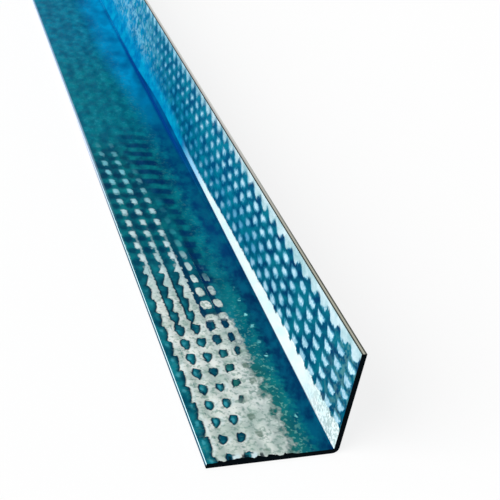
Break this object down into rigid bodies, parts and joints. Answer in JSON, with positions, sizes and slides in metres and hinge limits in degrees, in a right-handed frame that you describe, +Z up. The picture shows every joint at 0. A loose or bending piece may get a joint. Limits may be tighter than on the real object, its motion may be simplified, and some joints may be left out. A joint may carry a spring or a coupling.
{
  "type": "wall angle",
  "caption": "Long L-shaped angle of knurled galvanised steel sheet, fixed along a wall to carry the edge of a ceiling or hold the edge of a lining.",
  "frame": {"origin": "centre of the bounding box's bottom face: on the floor, under the middle of the lower leg, halfway along the length", "axes": "+Z up the upright leg, +Y along the length away from the near cut end, +X from the lower leg's slit edge to the heel"},
  "size_m": [0.025, 3, 0.023],
  "materials": {
    "galvanised_steel": "galvanised steel with a blue-green sheen, satin to bright, finely mottled"
  },
  "bodies": {
    "root": {"wall_angle": "galvanised_steel"}
  },
  "joints": []
}
